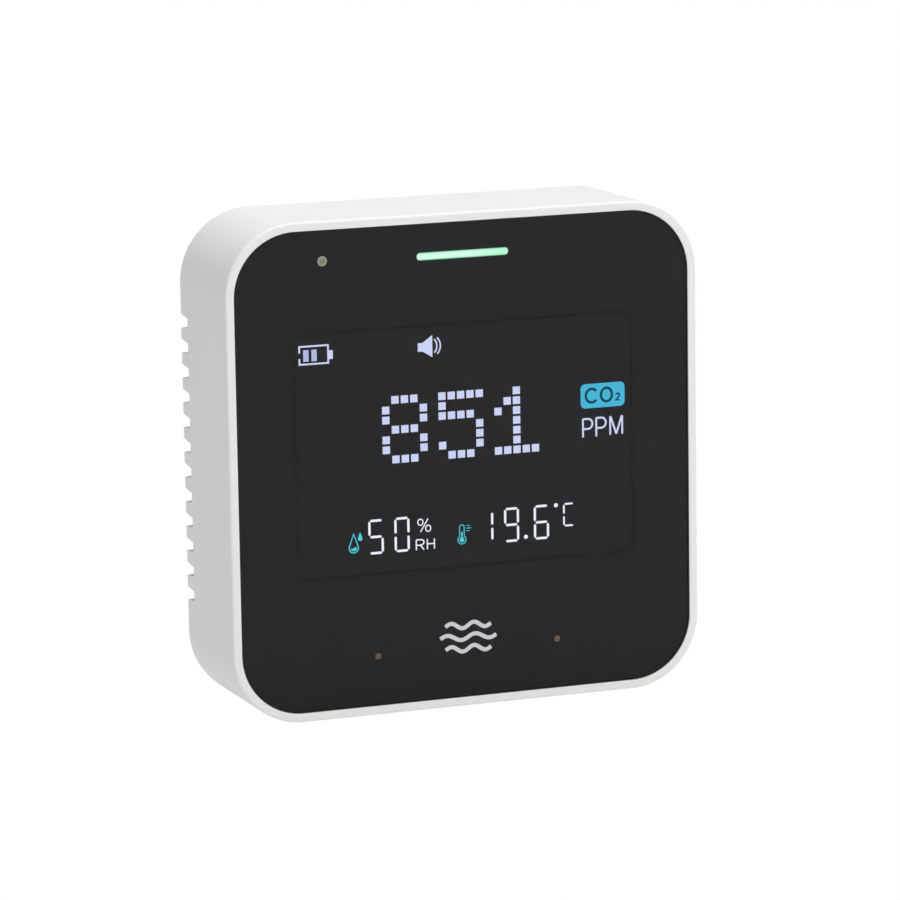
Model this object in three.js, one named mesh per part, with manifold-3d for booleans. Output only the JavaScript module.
// A desktop air quality monitor: a white square housing with a flush black window, side
// vents along its rear edge, and inside it a segment display, two circuit boards, a gas
// sensor, a battery and two push buttons that work through the rear cover.
//
// Millimetres, X to the right of a person facing the display, Y away from them, Z up.
// The origin is under the middle of the case, on the surface that its feet stand on.
// Pieces are drawn in the case's own frame: x and z from the middle of the front face, and
// y the depth behind it. The group at the end stands the case on its feet.

import * as THREE from 'three';
import { mergeVertices } from 'three/addons/utils/BufferGeometryUtils.js';
import Module from 'manifold-3d';

const wasm = await Module();
wasm.setup();

// ---- Driving dimensions ----------------------------------------------------------------

const CASE_SIZE = 88; // width and height
const CASE_DEPTH = 26.6;
const CORNER_RADIUS = 12.8;
const FRONT_FILLET = 0.8;
const REAR_FILLET = 1.8;
const WALL = 2.2;
const RIM = 1.6; // white frame seen around the window
const FIT = 0.1; // between pieces that only locate each other

const LENS_SINK = 0.1; // the window lies this far behind the rim
const LENS_THICKNESS = 1.2;
const TAPE_THICKNESS = 0.25;
const WEB_THICKNESS = 1.5; // the housing's wall behind the window

const VENT_COUNT = 12; // on each side
const VENT_PITCH = 4.45;
const VENT_HEIGHT = 2.15;
const VENT_LENGTH = 5.1; // from the rear face forwards
const COVER_SLOT = 2.7; // how far a vent goes on into the rear cover

const DISPLAY_RAISE = 3; // the display's middle above the case's middle
const DISPLAY_WIDTH = 67;
const DISPLAY_HEIGHT = 47.4;
const DISPLAY_THICKNESS = 1.8;

const BAR_LENGTH = 17.2; // status light bar
const BAR_HEIGHT = 1.45;
const BAR_Z = 36.5;
const LIGHT_EYE = { x: -25.9, z: 36.85, radius: 0.95 };
const TOUCH_X = 16.95;
const TOUCH_Z = -33.65;
const TOUCH_RADIUS = 2.2;

const COVER_THICKNESS = 2;
const COVER_GAP = 0.2;
const BOSS_OFFSET = 35.4; // cover screws, from the middle along x and z
const BOSS_RADIUS = 2.9; // on the housing
const COVER_BOSS_RADIUS = 3.3;
const BOARD_POST = { x: 37.6, z: 24 }; // display board screws
const REAR_POST = { x: 36.4, z: 22 }; // main board screws
const POST_RADIUS = 1.9;
const RIB_THICKNESS = 1.2;
const LIP = { length: 56, height: 1.2, reach: 2.4 }; // on the cover, inside the housing
const COVER_SCREW = { head: 1.4, headRadius: 2.1, shank: 8.5, shankRadius: 1 };
const BOARD_SCREW = { head: 1, headRadius: 1.6, shank: 4.2, shankRadius: 0.8 };
const SCREW_SEAT = 1.7; // material under a cover screw's head

const DISPLAY_BOARD_FRONT = 7.2;
const DISPLAY_BOARD_THICKNESS = 1.2;
const MAIN_BOARD_FRONT = 18;
const MAIN_BOARD_THICKNESS = 1.6;
const BOARD_DIAGONAL = 65.6; // x + z of the boards' cut corners, clear of the bosses

const BUTTON_X = 12;
const BUTTON_Z = 26;
const BUTTON_RADIUS = 4;
const BUTTON_TRAVEL = 0.5;
const RUNNING_GAP = 0.3; // around and behind what moves

const USB_Z = -30;
const USB_WIDTH = 8.94;
const USB_HEIGHT = 3.26;
const USB_WALL = 0.3;
const USB_FLOOR = 0.6; // the socket's closed end, above the main board
const USB_SINK = 0.4; // its mouth, behind the rear face

const BUZZER = { x: -20, z: -10, radius: 4.5, height: 4.2, mouthRadius: 0.9 };
const SOUND_HOLES = { count: 6, ringRadius: 2.6, radius: 0.7 };

const FOOT = { x: 22, length: 14, width: 18, corner: 3, thickness: 1, proud: 0.4 };

const CORNER_STEPS = 4; // curveSegments: an arc gets twice as many straight stretches
const FILLET_STEPS = 3;
const LOOSE = 0.02; // keeps two outlines from lying on each other
const SPARE = 1; // how far a cutter runs past what it cuts

// ---- Worked-out places -----------------------------------------------------------------

const HALF = CASE_SIZE / 2;
const LENS_BACK = LENS_SINK + LENS_THICKNESS;
const WEB_FRONT = LENS_BACK + TAPE_THICKNESS;
const WEB_BACK = WEB_FRONT + WEB_THICKNESS;
const POCKET_SIZE = CASE_SIZE - 2 * RIM;
const INNER_SIZE = CASE_SIZE - 2 * WALL;
const COVER_FRONT = CASE_DEPTH - COVER_THICKNESS;
const COVER_SIZE = INNER_SIZE - 2 * COVER_GAP;
const BOSS_TOP = COVER_FRONT - SCREW_SEAT;
const DISPLAY_FRONT = LENS_BACK + RUNNING_GAP;
const DISPLAY_BACK = DISPLAY_FRONT + DISPLAY_THICKNESS;
const GUIDE_END = DISPLAY_BOARD_FRONT - 1.2; // behind the display and the light sensor's guide
const DISPLAY_BOARD_BACK = DISPLAY_BOARD_FRONT + DISPLAY_BOARD_THICKNESS;
const MAIN_BOARD_BACK = MAIN_BOARD_FRONT + MAIN_BOARD_THICKNESS;
const SWITCH_HEIGHT = 3.4;
const SWITCH_BACK = MAIN_BOARD_BACK + SWITCH_HEIGHT;
const SIDES = [-1, 1];
const SIDE_NAME = { '-1': 'left', 1: 'right' };
const CORNERS = [
  { name: 'top_left', x: -1, z: 1 },
  { name: 'top_right', x: 1, z: 1 },
  { name: 'bottom_left', x: -1, z: -1 },
  { name: 'bottom_right', x: 1, z: -1 },
];

// ---- Finishes --------------------------------------------------------------------------

const finish = (color, roughness, metalness = 0) =>
  new THREE.MeshStandardMaterial({ color, roughness, metalness });

const WHITE_PLASTIC = finish(0xf1f1ee, 0.5);
const WINDOW_BLACK = finish(0x1c1c1f, 0.12);
const TAPE_BLACK = finish(0x161616, 0.9);
const CLEAR_GREEN = finish(0xb9f5cd, 0.3);
const CLEAR_AMBER = finish(0x96967d, 0.4);
const COPPER_FOAM = finish(0x6e4b37, 0.6, 0.4);
const DISPLAY_BLACK = finish(0x202024, 0.2);
const FRAME_BLACK = finish(0x232323, 0.6);
const LIGHT_GUIDE = finish(0xe8ecf2, 0.3);
const STRIP_GREY = finish(0x6c6f75, 0.8);
const BOARD_GREEN = finish(0x1d5a37, 0.45);
const CHIP_BLACK = finish(0x1f1f20, 0.55);
const LED_CREAM = finish(0xeeeac8, 0.4);
const CONNECTOR_CREAM = finish(0xe6dfc8, 0.5);
const CELL_FOIL = finish(0xa9adb2, 0.35, 0.7);
const FOAM_GREY = finish(0x4a4a4c, 0.95);
const WIRE_RED = finish(0xb01e1e, 0.5);
const WIRE_BLACK = finish(0x1b1b1b, 0.5);
const SENSOR_GOLD = finish(0xc9a24a, 0.3, 0.9);
const FILTER_WHITE = finish(0xe9e9e6, 0.9);
const STEEL = finish(0xa7a9ac, 0.3, 1);
const BUTTON_GREY = finish(0xd6d6d3, 0.5);
const RUBBER = finish(0x2a2a2a, 0.85);

// ---- Solids ----------------------------------------------------------------------------

// A closed three.js geometry as a solid that can be joined and cut.
function solidOf(geometry) {
  geometry.deleteAttribute('normal');
  geometry.deleteAttribute('uv');
  const merged = mergeVertices(geometry, 1e-4);
  const corners = merged.index.array;
  const triangles = [];
  for (let i = 0; i < corners.length; i += 3) {
    const [a, b, c] = corners.subarray(i, i + 3);
    if (a !== b && b !== c && c !== a) triangles.push(a, b, c);
  }
  return new wasm.Manifold(new wasm.Mesh({
    numProp: 3,
    vertProperties: Float32Array.from(merged.attributes.position.array),
    triVerts: Uint32Array.from(triangles),
  }));
}

function geometryOf(solid) {
  const mesh = solid.getMesh();
  const geometry = new THREE.BufferGeometry();
  geometry.setAttribute('position', new THREE.BufferAttribute(mesh.vertProperties, 3));
  geometry.setIndex(new THREE.BufferAttribute(mesh.triVerts, 1));
  const flat = geometry.toNonIndexed();
  flat.computeVertexNormals();
  return flat;
}

// An outline in the X-Z plane, solid between two depths, with both ends rounded if asked.
function panel(outline, front, back, fillet = 0) {
  const geometry = new THREE.ExtrudeGeometry(outline, {
    depth: back - front - 2 * fillet,
    curveSegments: CORNER_STEPS,
    bevelEnabled: fillet > 0,
    bevelThickness: fillet,
    bevelSize: fillet,
    bevelOffset: -fillet,
    bevelSegments: FILLET_STEPS,
  });
  geometry.rotateX(Math.PI / 2);
  geometry.translate(0, back - fillet, 0);
  return solidOf(geometry);
}

// A plain block: its middle seen from the front, its size there, and its two depths.
function block(x, z, width, height, front, back) {
  const geometry = new THREE.BoxGeometry(width, back - front, height);
  geometry.translate(x, (front + back) / 2, z);
  return solidOf(geometry);
}

// A round rod along the depth.
function rod(x, z, radius, front, back, sides = 20) {
  const geometry = new THREE.CylinderGeometry(radius, radius, back - front, sides);
  geometry.translate(x, (front + back) / 2, z);
  return solidOf(geometry);
}

// A turned piece about an axis along the depth: points are [radius, depth].
function turned(x, z, points, sides = 20) {
  const profile = points.map(([radius, depth]) => new THREE.Vector2(radius, depth));
  const geometry = new THREE.LatheGeometry(profile, sides);
  geometry.translate(x, 0, z);
  return solidOf(geometry);
}

const joined = (solids) => solids.reduce((all, solid) => all.add(solid));
const cutAway = (solid, cutters) => cutters.reduce((left, cutter) => left.subtract(cutter), solid);

// ---- Outlines --------------------------------------------------------------------------

function roundedRect(width, height, radius, x = 0, z = 0) {
  const right = width / 2 - radius;
  const top = height / 2 - radius;
  const quarter = Math.PI / 2;
  const outline = new THREE.Shape();
  outline.absarc(x + right, z + top, radius, 0, quarter);
  outline.absarc(x - right, z + top, radius, quarter, 2 * quarter);
  outline.absarc(x - right, z - top, radius, 2 * quarter, 3 * quarter);
  outline.absarc(x + right, z - top, radius, 3 * quarter, 4 * quarter);
  outline.closePath();
  return outline;
}

// A square with its corners cut at 45 degrees, where x + z reaches BOARD_DIAGONAL.
function boardOutline(half) {
  const cut = BOARD_DIAGONAL - half;
  const outline = new THREE.Shape();
  outline.moveTo(half, -cut);
  outline.lineTo(half, cut);
  outline.lineTo(cut, half);
  outline.lineTo(-cut, half);
  outline.lineTo(-half, cut);
  outline.lineTo(-half, -cut);
  outline.lineTo(-cut, -half);
  outline.lineTo(cut, -half);
  outline.closePath();
  return outline;
}

// ---- Housing and cover -----------------------------------------------------------------

// Cutters for the vents, from one distance from the middle outwards on both sides.
function ventCutters(innerX, front) {
  const width = HALF + SPARE - innerX;
  const cutters = [];
  for (const side of SIDES) {
    for (let i = 0; i < VENT_COUNT; i++) {
      const z = (i - (VENT_COUNT - 1) / 2) * VENT_PITCH;
      const x = side * (innerX + width / 2);
      cutters.push(block(x, z, width, VENT_HEIGHT, front, CASE_DEPTH + SPARE));
    }
  }
  return cutters;
}

// The housing's outer form: the front edge has a small round and the rear edge a larger one.
function caseBlock() {
  const outline = roundedRect(CASE_SIZE, CASE_SIZE, CORNER_RADIUS);
  const looseSize = CASE_SIZE + 2 * LOOSE;
  const looseOutline = roundedRect(looseSize, looseSize, CORNER_RADIUS);
  const beyond = 5; // where each panel's other end lies, outside the case
  const frontRounded = panel(outline, 0, CASE_DEPTH + beyond, FRONT_FILLET);
  return frontRounded.intersect(panel(looseOutline, -beyond, CASE_DEPTH, REAR_FILLET));
}

function frontHousing() {
  const pocket = roundedRect(POCKET_SIZE, POCKET_SIZE, CORNER_RADIUS - RIM);
  const inside = roundedRect(INNER_SIZE, INNER_SIZE, CORNER_RADIUS - WALL);
  const shell = cutAway(caseBlock(), [
    panel(pocket, -SPARE, WEB_FRONT),
    panel(inside, WEB_BACK, CASE_DEPTH + SPARE),
  ]);

  const root = WEB_FRONT + WEB_THICKNESS / 2; // posts and ribs start inside the web
  const ribReach = HALF - WALL + 0.2; // a rib ends inside the side wall
  const ribbed = (x, z, side, back) =>
    block(side * (x + ribReach) / 2, z, ribReach - x, RIB_THICKNESS, root, back);
  const supports = CORNERS.flatMap((corner) => [
    rod(corner.x * BOSS_OFFSET, corner.z * BOSS_OFFSET, BOSS_RADIUS, root, BOSS_TOP),
    ribbed(BOSS_OFFSET, corner.z * BOSS_OFFSET, corner.x, BOSS_TOP - 3),
    rod(corner.x * BOARD_POST.x, corner.z * BOARD_POST.z, POST_RADIUS, root, DISPLAY_BOARD_FRONT),
    ribbed(BOARD_POST.x, corner.z * BOARD_POST.z, corner.x, DISPLAY_BOARD_FRONT - 1),
  ]);

  const pilots = CORNERS.flatMap((corner) => [
    rod(corner.x * BOSS_OFFSET, corner.z * BOSS_OFFSET, COVER_SCREW.shankRadius + FIT,
      BOSS_TOP - 8, BOSS_TOP + SPARE, 12),
    rod(corner.x * BOARD_POST.x, corner.z * BOARD_POST.z, BOARD_SCREW.shankRadius + FIT,
      WEB_BACK + 0.6, DISPLAY_BOARD_FRONT + SPARE, 12),
  ]);
  const past = WEB_BACK + SPARE;
  const around = 2 * RUNNING_GAP;
  const windows = [
    block(0, DISPLAY_RAISE, DISPLAY_WIDTH + around, DISPLAY_HEIGHT + around, 0, past),
    block(0, BAR_Z, BAR_LENGTH + around, BAR_HEIGHT + around, 0, past),
    rod(LIGHT_EYE.x, LIGHT_EYE.z, LIGHT_EYE.radius + RUNNING_GAP, 0, past, 16),
    ...SIDES.map((side) => rod(side * TOUCH_X, TOUCH_Z, TOUCH_RADIUS + 0.4, 0, past)),
  ];
  const footPockets = SIDES.map((side) => footBlock(side, FIT));
  return cutAway(joined([shell, ...supports]), [
    ...pilots,
    ...windows,
    ...footPockets,
    ...ventCutters(HALF - WALL - SPARE, CASE_DEPTH - VENT_LENGTH),
  ]);
}

function rearCover() {
  const plate = panel(roundedRect(COVER_SIZE, COVER_SIZE, CORNER_RADIUS - WALL - COVER_GAP),
    COVER_FRONT, CASE_DEPTH);
  const root = COVER_FRONT + 0.2; // posts and lips start inside the plate
  const lipZ = COVER_SIZE / 2 - LIP.height;
  const additions = CORNERS.flatMap((corner) => [
    rod(corner.x * BOSS_OFFSET, corner.z * BOSS_OFFSET, COVER_BOSS_RADIUS, BOSS_TOP, root),
    rod(corner.x * REAR_POST.x, corner.z * REAR_POST.z, POST_RADIUS, MAIN_BOARD_BACK, root),
  ]);
  const lips = SIDES.map((side) =>
    block(0, side * lipZ, LIP.length, LIP.height, COVER_FRONT - LIP.reach, root));

  const wellRadius = COVER_SCREW.headRadius + 0.25;
  const clearRadius = COVER_SCREW.shankRadius + 0.2;
  const pilotRadius = BOARD_SCREW.shankRadius + FIT;
  const pilotEnd = MAIN_BOARD_BACK + 3.4;
  const screwWells = CORNERS.flatMap(({ x, z }) => [
    rod(x * BOSS_OFFSET, z * BOSS_OFFSET, wellRadius, COVER_FRONT, CASE_DEPTH + SPARE),
    rod(x * BOSS_OFFSET, z * BOSS_OFFSET, clearRadius, BOSS_TOP - SPARE, CASE_DEPTH, 12),
    rod(x * REAR_POST.x, z * REAR_POST.z, pilotRadius, 0, pilotEnd, 12),
  ]);
  const buttonHoles = SIDES.map((side) =>
    rod(side * BUTTON_X, BUTTON_Z, BUTTON_RADIUS + RUNNING_GAP, 0, CASE_DEPTH + SPARE, 28));
  const usbHole = usbOutline(0.35);
  return cutAway(joined([plate, ...additions, ...lips]), [
    ...screwWells,
    ...buttonHoles,
    panel(usbHole, 0, CASE_DEPTH + SPARE),
    ...soundHoles(),
    ...ventCutters(COVER_SIZE / 2 - COVER_SLOT, 0),
  ]);
}

// A ring of small holes round one, over the buzzer.
function soundHoles() {
  const { count, ringRadius, radius } = SOUND_HOLES;
  const hole = (x, z) => rod(x, z, radius, 0, CASE_DEPTH + SPARE, 10);
  const holes = [hole(BUZZER.x, BUZZER.z)];
  for (let i = 0; i < count; i++) {
    const angle = (2 * Math.PI * i) / count;
    holes.push(hole(BUZZER.x + ringRadius * Math.cos(angle),
      BUZZER.z + ringRadius * Math.sin(angle)));
  }
  return holes;
}

// A foot seen from below is a rounded rectangle; spare widens it into its pocket's cutter.
function footBlock(side, spare = 0) {
  const outline = roundedRect(FOOT.length + 2 * spare, FOOT.width + 2 * spare, FOOT.corner,
    side * FOOT.x, CASE_DEPTH / 2);
  const low = -HALF - FOOT.proud;
  const geometry = new THREE.ExtrudeGeometry(outline, {
    depth: FOOT.thickness,
    curveSegments: 4,
    bevelEnabled: false,
  });
  geometry.translate(0, 0, low);
  return solidOf(geometry);
}

// A pan-head screw driven from one side, with a cross recess in its head.
function screw(x, z, seat, sign, { head, headRadius, shank, shankRadius }) {
  const at = (distance) => seat + sign * distance;
  const profile = [
    [0, at(head)],
    [headRadius * 0.7, at(head)],
    [headRadius, at(head * 0.5)],
    [headRadius, at(0)],
    [shankRadius, at(0)],
    [shankRadius, at(-shank)],
    [0, at(-shank - shankRadius * 0.6)],
  ];
  const whole = turned(x, z, sign > 0 ? profile.reverse() : profile, 12);
  const recessLength = headRadius * 1.1;
  const recessWidth = headRadius * 0.25;
  const [low, high] = [at(head * 0.45), at(head + SPARE)].sort((a, b) => a - b);
  return cutAway(whole, [
    block(x, z, recessLength, recessWidth, low, high),
    block(x, z, recessWidth, recessLength, low, high),
  ]);
}

// ---- Window, light guides and display --------------------------------------------------

function lens() {
  const size = POCKET_SIZE - 2 * FIT;
  return panel(roundedRect(size, size, CORNER_RADIUS - RIM - FIT), LENS_SINK, LENS_BACK);
}

function lensTape() {
  const tapeWidth = 3.5;
  const outer = POCKET_SIZE - 1;
  const inner = outer - 2 * tapeWidth;
  const corner = 10.8;
  const ring = roundedRect(outer, outer, corner);
  ring.holes.push(roundedRect(inner, inner, corner - tapeWidth + 0.3));
  return panel(ring, LENS_BACK, WEB_FRONT);
}

// A round-ended pipe with a wider shoulder behind the web, over the status lamps.
function barGuide() {
  const shoulderBack = DISPLAY_BOARD_FRONT - 1.5;
  const pipe = panel(roundedRect(BAR_LENGTH, BAR_HEIGHT, BAR_HEIGHT / 2, 0, BAR_Z),
    LENS_BACK, WEB_BACK + 0.5);
  return pipe.add(block(0, BAR_Z, BAR_LENGTH + 3, BAR_HEIGHT + 2, WEB_BACK, shoulderBack));
}

function lightEyeGuide() {
  const { x, z, radius } = LIGHT_EYE;
  const collarRadius = radius + 0.8;
  const collarBack = WEB_BACK + 1;
  return turned(x, z, [
    [0, LENS_BACK],
    [radius, LENS_BACK],
    [radius, WEB_BACK],
    [collarRadius, WEB_BACK],
    [collarRadius, collarBack],
    [radius, collarBack],
    [radius, GUIDE_END],
    [0, GUIDE_END],
  ], 16);
}

const touchPad = (side) =>
  rod(side * TOUCH_X, TOUCH_Z, TOUCH_RADIUS, LENS_BACK, DISPLAY_BOARD_FRONT);

const displayGlass = () =>
  block(0, DISPLAY_RAISE, DISPLAY_WIDTH, DISPLAY_HEIGHT, DISPLAY_FRONT, DISPLAY_BACK);

const FRAME_SLOT = 1.9; // opening under the light guide for the contact strip
const GUIDE_WIDTH = 63;
const GUIDE_HEIGHT = 43;
const STRIP = { length: 60, height: 1.2 };

function displayFrame() {
  const back = DISPLAY_BOARD_FRONT - 0.8;
  const outer = block(0, DISPLAY_RAISE, DISPLAY_WIDTH + 3.4, DISPLAY_HEIGHT + 4,
    DISPLAY_BACK, back);
  const slotZ = DISPLAY_RAISE - FRAME_SLOT / 2;
  return outer.subtract(block(0, slotZ, GUIDE_WIDTH + 0.6, GUIDE_HEIGHT + 0.6 + FRAME_SLOT,
    0, CASE_DEPTH));
}

const lightGuide = () => block(0, DISPLAY_RAISE, GUIDE_WIDTH, GUIDE_HEIGHT,
  DISPLAY_BACK + RUNNING_GAP, GUIDE_END);

function contactStrip() {
  const z = DISPLAY_RAISE - GUIDE_HEIGHT / 2 - STRIP.height - FIT;
  return block(0, z, STRIP.length, STRIP.height, DISPLAY_BACK, DISPLAY_BOARD_FRONT);
}

// ---- Boards and what they carry ---------------------------------------------------------

function displayBoard() {
  const holes = CORNERS.map((corner) =>
    rod(corner.x * BOARD_POST.x, corner.z * BOARD_POST.z, 1, 0, CASE_DEPTH, 12));
  return cutAway(panel(boardOutline(40), DISPLAY_BOARD_FRONT, DISPLAY_BOARD_BACK), holes);
}

const HUMIDITY_CHIP = { x: -35, z: -4, size: 3, height: 1.1 };

// The main board, with a slot around three sides of the humidity sensor to keep heat off it.
function mainBoard() {
  const { x, z, size } = HUMIDITY_CHIP;
  const arm = size + 3;
  const slotWidth = 1;
  const slots = [
    block(x + arm / 2, z, slotWidth, arm, 0, CASE_DEPTH),
    block(x, z + arm / 2, arm, slotWidth, 0, CASE_DEPTH),
    block(x, z - arm / 2, arm, slotWidth, 0, CASE_DEPTH),
  ];
  const holes = CORNERS.map((corner) =>
    rod(corner.x * REAR_POST.x, corner.z * REAR_POST.z, 1, 0, CASE_DEPTH, 12));
  const plate = panel(boardOutline(39.6), MAIN_BOARD_FRONT, MAIN_BOARD_BACK);
  return cutAway(plate, [...slots, ...holes]);
}

const barLed = (x) =>
  block(x, BAR_Z, 3.4, 2.8, DISPLAY_BOARD_FRONT - 1.1, DISPLAY_BOARD_FRONT);

const lightSensor = () =>
  block(LIGHT_EYE.x, LIGHT_EYE.z, 2.2, 2, DISPLAY_BOARD_FRONT - 0.8, DISPLAY_BOARD_FRONT);

const BATTERY = { x: 0, z: -14, width: 54, height: 34, front: 8.9, back: 14.4 };

const batteryPad = () =>
  block(BATTERY.x, BATTERY.z, 40, 24, DISPLAY_BOARD_BACK, BATTERY.front);

const batteryCell = () =>
  panel(roundedRect(BATTERY.width, BATTERY.height, 2, BATTERY.x, BATTERY.z),
    BATTERY.front, BATTERY.back, 0.8);

const BATTERY_SOCKET = { x: 33.2, z: 0, width: 5, height: 8, front: 14 };

const batterySocket = () => block(BATTERY_SOCKET.x, BATTERY_SOCKET.z, BATTERY_SOCKET.width,
  BATTERY_SOCKET.height, BATTERY_SOCKET.front, MAIN_BOARD_FRONT);

// A lead from the cell's right-hand edge up into the bottom of its socket.
function batteryLead(cellZ, socketX) {
  const edge = BATTERY.x + BATTERY.width / 2 + 0.1;
  const depth = (BATTERY.front + BATTERY.back) / 2;
  const socketBottom = BATTERY_SOCKET.z - BATTERY_SOCKET.height / 2 - 0.1;
  const route = new THREE.CatmullRomCurve3([
    new THREE.Vector3(edge, depth, cellZ),
    new THREE.Vector3(edge + 2.6, depth + 0.4, cellZ + 0.3),
    new THREE.Vector3(socketX, BATTERY_SOCKET.front + 1, socketBottom - 3.4),
    new THREE.Vector3(socketX, BATTERY_SOCKET.front + 2, socketBottom),
  ]);
  const section = new THREE.Shape();
  section.absarc(0, 0, 0.6, 0, 2 * Math.PI);
  return solidOf(new THREE.ExtrudeGeometry(section, {
    steps: 10,
    curveSegments: 4,
    extrudePath: route,
  }));
}

const LINK = { x: 24.5, z: 16, width: 5, height: 22, middle: 13.2 };

const linkSocket = () =>
  block(LINK.x, LINK.z, LINK.width, LINK.height, DISPLAY_BOARD_BACK, LINK.middle);

const linkPlug = () =>
  block(LINK.x, LINK.z, LINK.width - 0.8, LINK.height - 0.8, LINK.middle, MAIN_BOARD_FRONT);

const GAS = { x: -6, z: 16, width: 34, height: 22, boardFront: 16.2, chamberFront: 10.4 };
const GAS_BOARD_BACK = GAS.boardFront + 1;

const gasBoard = () =>
  block(GAS.x, GAS.z, GAS.width, GAS.height, GAS.boardFront, GAS_BOARD_BACK);

const gasHeader = (side) =>
  block(GAS.x + side * 15, GAS.z, 2.5, 20, GAS_BOARD_BACK, MAIN_BOARD_FRONT);

const gasChamber = () =>
  panel(roundedRect(28, 16, 3, GAS.x, GAS.z), GAS.chamberFront, GAS.boardFront);

const gasFilter = () =>
  panel(roundedRect(14, 9, 1, GAS.x, GAS.z), GAS.chamberFront - 0.4, GAS.chamberFront);

const CONTROLLER = { x: 8, z: 2, size: 10, height: 1.2 };
const CHARGER = { x: 12, z: -28, size: 5, height: 1 };

// A square chip on the main board's rear face.
const chip = ({ x, z, size, height }) =>
  block(x, z, size, size, MAIN_BOARD_BACK, MAIN_BOARD_BACK + height);

// The buzzer's can, with the hole in its rear face that the sound leaves by.
function buzzer() {
  const { x, z, radius, height, mouthRadius } = BUZZER;
  const back = MAIN_BOARD_BACK + height;
  const mouth = rod(x, z, mouthRadius, back - SPARE, back + SPARE, 12);
  return rod(x, z, radius, MAIN_BOARD_BACK, back, 24).subtract(mouth);
}

// ---- Charging socket --------------------------------------------------------------------

const USB_BACK = CASE_DEPTH - USB_SINK;

// The socket's long round-ended outline; spare is added all round.
function usbOutline(spare) {
  const height = USB_HEIGHT + 2 * spare;
  return roundedRect(USB_WIDTH + 2 * spare, height, height / 2 - 0.01, 0, USB_Z);
}

function usbShell() {
  const floor = MAIN_BOARD_BACK + USB_FLOOR;
  return panel(usbOutline(0), MAIN_BOARD_BACK, USB_BACK)
    .subtract(panel(usbOutline(-USB_WALL), floor, CASE_DEPTH));
}

// A flange in the bottom of the socket, and the blade that carries the contacts.
function usbTongue() {
  const floor = MAIN_BOARD_BACK + USB_FLOOR;
  return panel(usbOutline(-USB_WALL - 0.08), floor, floor + 1.2)
    .add(block(0, USB_Z, 6.7, 0.7, floor + 1, USB_BACK - 0.9));
}

// ---- Push buttons -----------------------------------------------------------------------

const SWITCH_SIZE = 6;
const WELL_FLOOR = MAIN_BOARD_BACK + 1.8;
const FLANGE_BACK = COVER_FRONT - RUNNING_GAP;
const FLANGE_FRONT = FLANGE_BACK - 0.6;
const PLUNGER_RADIUS = 1.7;

// The switch body, with the well that its plunger sinks into.
function switchBody(side) {
  const x = side * BUTTON_X;
  const wellRadius = PLUNGER_RADIUS + RUNNING_GAP;
  return block(x, BUTTON_Z, SWITCH_SIZE, SWITCH_SIZE, MAIN_BOARD_BACK, SWITCH_BACK)
    .subtract(rod(x, BUTTON_Z, wellRadius, WELL_FLOOR, SWITCH_BACK + SPARE, 16));
}

function switchPlunger(side) {
  const front = WELL_FLOOR + BUTTON_TRAVEL + RUNNING_GAP;
  return rod(side * BUTTON_X, BUTTON_Z, PLUNGER_RADIUS, front, FLANGE_FRONT, 16);
}

// The cap: a flange held behind the cover and a round face just under flush with it.
function buttonCap(side) {
  const face = CASE_DEPTH - 0.1;
  const edge = 0.3; // bevel round the face
  return turned(side * BUTTON_X, BUTTON_Z, [
    [0, FLANGE_FRONT],
    [BUTTON_RADIUS + 1, FLANGE_FRONT],
    [BUTTON_RADIUS + 1, FLANGE_BACK],
    [BUTTON_RADIUS, FLANGE_BACK],
    [BUTTON_RADIUS, face - edge],
    [BUTTON_RADIUS - edge, face],
    [0, face],
  ], 28);
}

// ---- The assembly ------------------------------------------------------------------------

const monitor = new THREE.Group();

function place(name, solid, material) {
  const mesh = new THREE.Mesh(geometryOf(solid), material);
  mesh.name = name;
  monitor.add(mesh);
}

place('front_housing', frontHousing(), WHITE_PLASTIC);
place('rear_cover', rearCover(), WHITE_PLASTIC);
place('front_lens', lens(), WINDOW_BLACK);
place('lens_tape', lensTape(), TAPE_BLACK);
place('light_bar_guide', barGuide(), CLEAR_GREEN);
place('light_sensor_guide', lightEyeGuide(), CLEAR_AMBER);
place('display_glass', displayGlass(), DISPLAY_BLACK);
place('display_frame', displayFrame(), FRAME_BLACK);
place('display_light_guide', lightGuide(), LIGHT_GUIDE);
place('display_contact_strip', contactStrip(), STRIP_GREY);
place('display_board', displayBoard(), BOARD_GREEN);
place('light_sensor_chip', lightSensor(), CHIP_BLACK);
place('board_link_socket', linkSocket(), CHIP_BLACK);
place('board_link_plug', linkPlug(), CHIP_BLACK);
place('main_board', mainBoard(), BOARD_GREEN);
place('battery_pad', batteryPad(), FOAM_GREY);
place('battery_cell', batteryCell(), CELL_FOIL);
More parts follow.
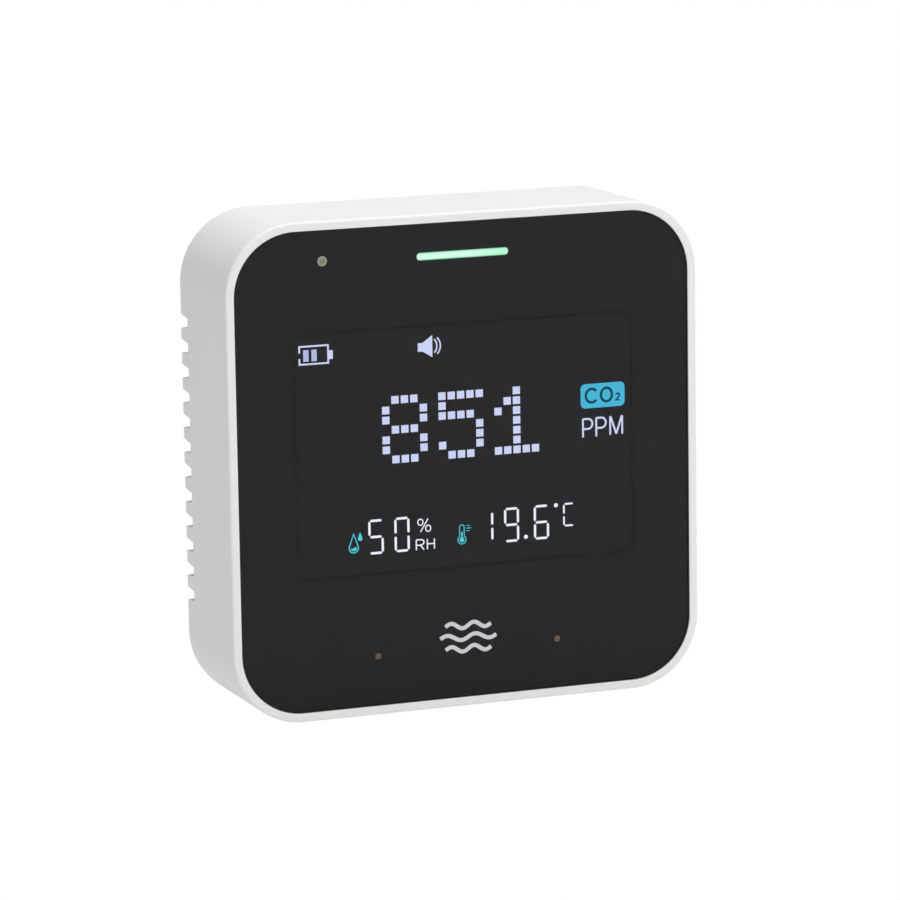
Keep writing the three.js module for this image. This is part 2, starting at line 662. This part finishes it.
place('battery_socket', batterySocket(), CONNECTOR_CREAM);
place('battery_lead_positive', batteryLead(-9, BATTERY_SOCKET.x - 1), WIRE_RED);
place('battery_lead_negative', batteryLead(-12, BATTERY_SOCKET.x + 1), WIRE_BLACK);
place('gas_sensor_board', gasBoard(), BOARD_GREEN);
place('gas_sensor_chamber', gasChamber(), SENSOR_GOLD);
place('gas_sensor_filter', gasFilter(), FILTER_WHITE);
place('humidity_sensor', chip(HUMIDITY_CHIP), CHIP_BLACK);
place('controller_chip', chip(CONTROLLER), CHIP_BLACK);
place('charge_chip', chip(CHARGER), CHIP_BLACK);
place('buzzer', buzzer(), CHIP_BLACK);
place('usb_shell', usbShell(), STEEL);
place('usb_tongue', usbTongue(), CHIP_BLACK);

['left', 'middle', 'right'].forEach((name, i) => {
  place(`bar_led_${name}`, barLed((i - 1) * 6), LED_CREAM);
});

for (const side of SIDES) {
  const name = SIDE_NAME[side];
  place(`touch_pad_${name}`, touchPad(side), COPPER_FOAM);
  place(`gas_sensor_header_${name}`, gasHeader(side), CHIP_BLACK);
  place(`foot_${name}`, footBlock(side), RUBBER);
}

[['power', 1], ['mute', -1]].forEach(([name, side]) => {
  place(`${name}_switch`, switchBody(side), CHIP_BLACK);
  place(`${name}_plunger`, switchPlunger(side), FRAME_BLACK);
  place(`${name}_button`, buttonCap(side), BUTTON_GREY);
});

for (const corner of CORNERS) {
  const across = (point) => [corner.x * point.x, corner.z * point.z];
  place(`cover_screw_${corner.name}`,
    screw(corner.x * BOSS_OFFSET, corner.z * BOSS_OFFSET, COVER_FRONT, 1, COVER_SCREW), STEEL);
  place(`display_board_screw_${corner.name}`,
    screw(...across(BOARD_POST), DISPLAY_BOARD_BACK, 1, { ...BOARD_SCREW, shank: 3.8 }), STEEL);
  place(`main_board_screw_${corner.name}`,
    screw(...across(REAR_POST), MAIN_BOARD_FRONT, -1, BOARD_SCREW), STEEL);
}

monitor.position.set(0, -CASE_DEPTH / 2, HALF + FOOT.proud);

export default monitor;
